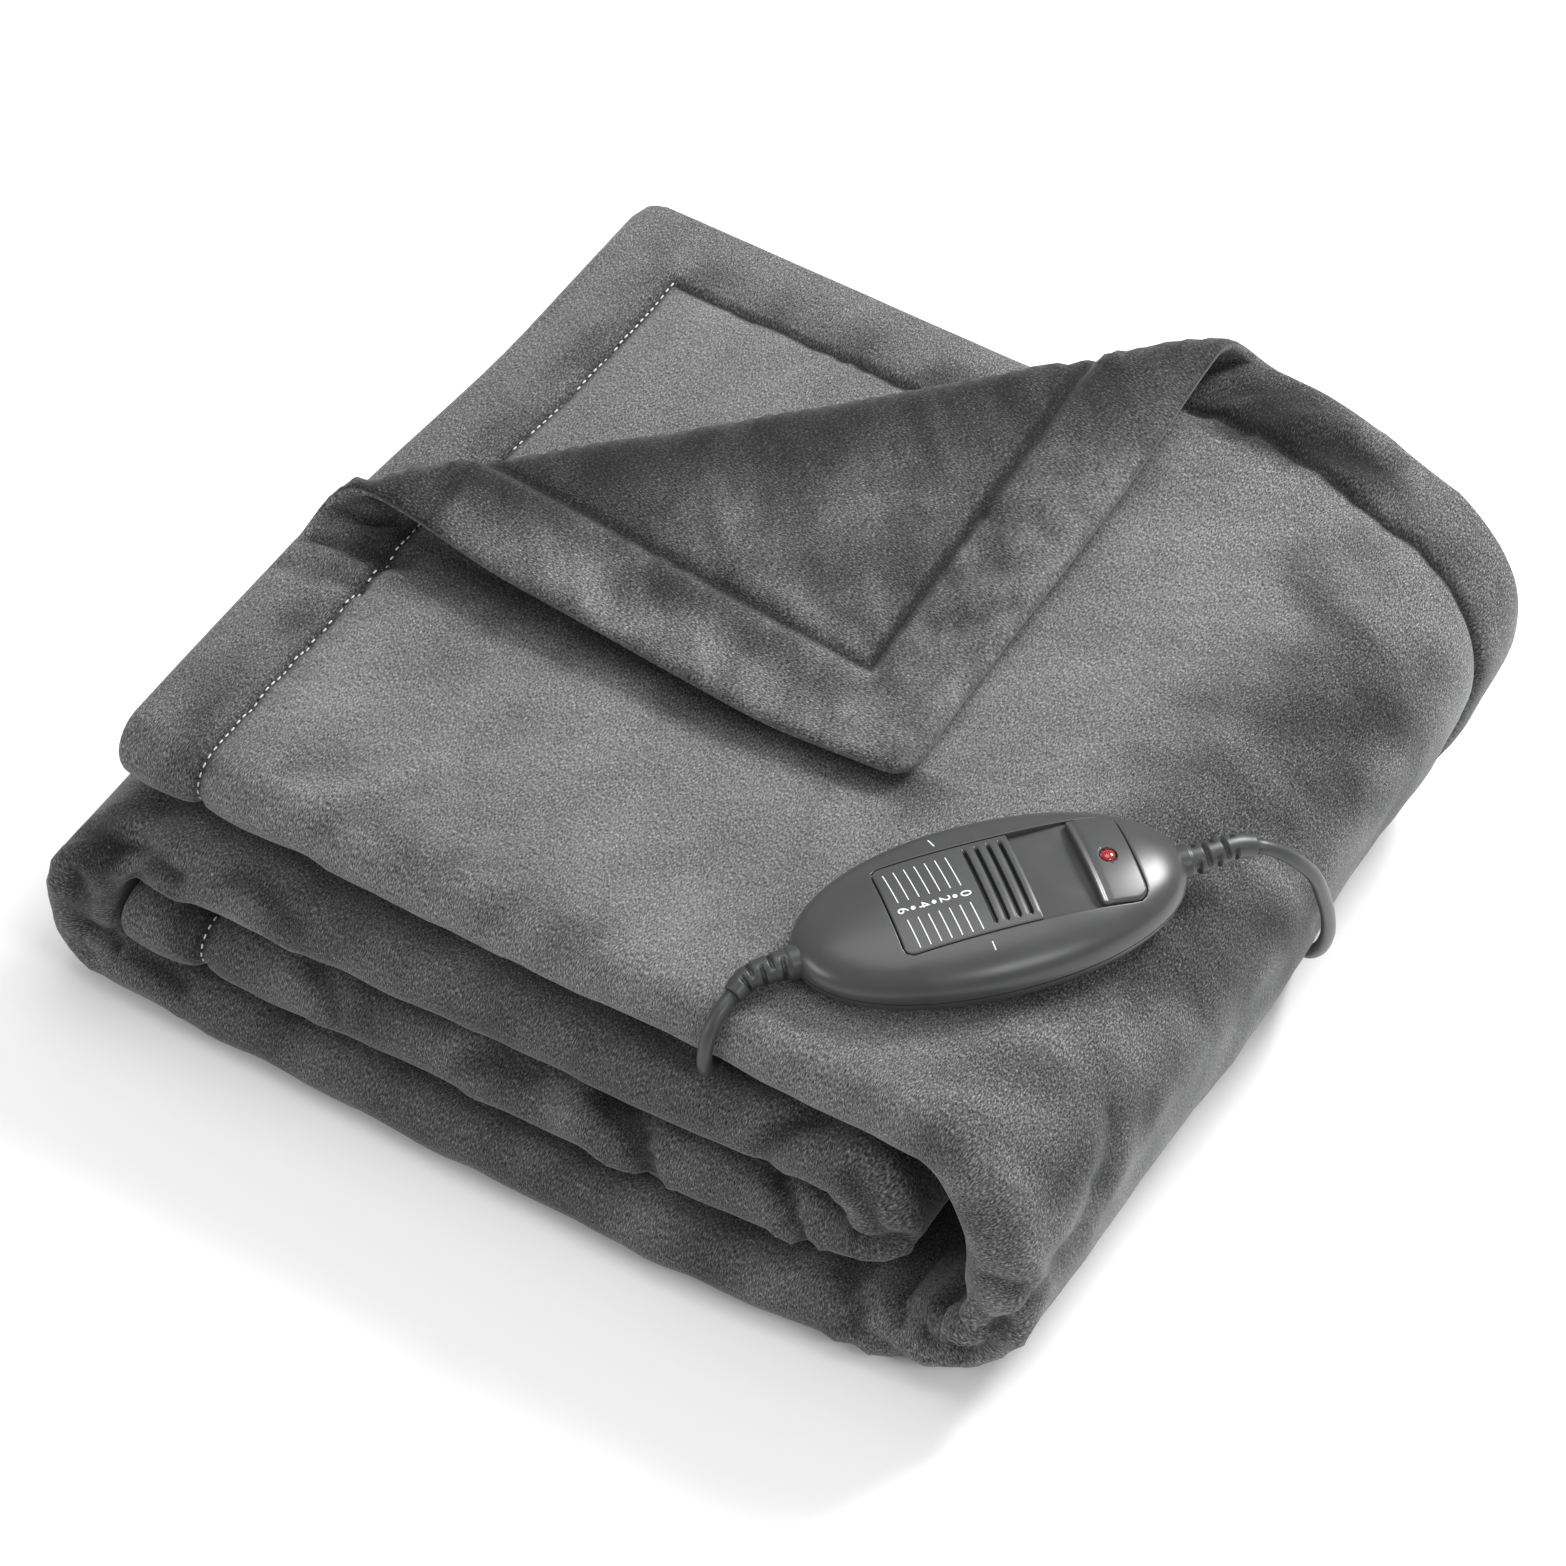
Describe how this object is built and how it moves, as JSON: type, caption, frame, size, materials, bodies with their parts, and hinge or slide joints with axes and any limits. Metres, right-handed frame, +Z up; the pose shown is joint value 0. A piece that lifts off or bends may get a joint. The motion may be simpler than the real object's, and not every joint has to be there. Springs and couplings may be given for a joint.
{
  "type": "electric heated blanket",
  "caption": "Folded plush electric heating blanket with one corner turned back, an oval slide controller lying on it, leads, coiled mains cord and plug.",
  "frame": {"origin": "under the middle of the folded blanket and its controller, on the surface they stand on", "axes": "+X along the blanket's front fold, towards its rounded right end; +Y from the front fold to the back hems; +Z up"},
  "size_m": [0.3905, 0.4228, 0.134],
  "materials": {
    "plush": "dark grey short-pile plush with a soft sheen",
    "case": "dark grey satin plastic",
    "slider": "dark grey satin plastic with a printed scale",
    "lamp": "clear red, glossy",
    "rubber": "dark grey flexible PVC, semi-matt",
    "pin": "nickel-plated"
  },
  "bodies": {
    "set": {"blanket": "plush", "controller_base": "case", "controller_cover": "case", "lamp_block": "case", "lamp": "lamp", "boot_blanket_side": "rubber", "boot_mains_side": "rubber", "lead_blanket_side": "rubber", "lead_mains_side": "rubber", "lead_plug_side": "rubber", "coil_mains_side": "rubber", "coil_tie": "rubber", "plug_body": "rubber", "plug_pin_1": "pin", "plug_pin_2": "pin"},
    "slide": {"slider": "slider"}
  },
  "joints": [
    {"name": "heat_slide", "type": "slide", "parent": "set", "child": "slide", "axis": [0.6361, 0.7716, 0], "range_m": [0, 0.0195]}
  ]
}
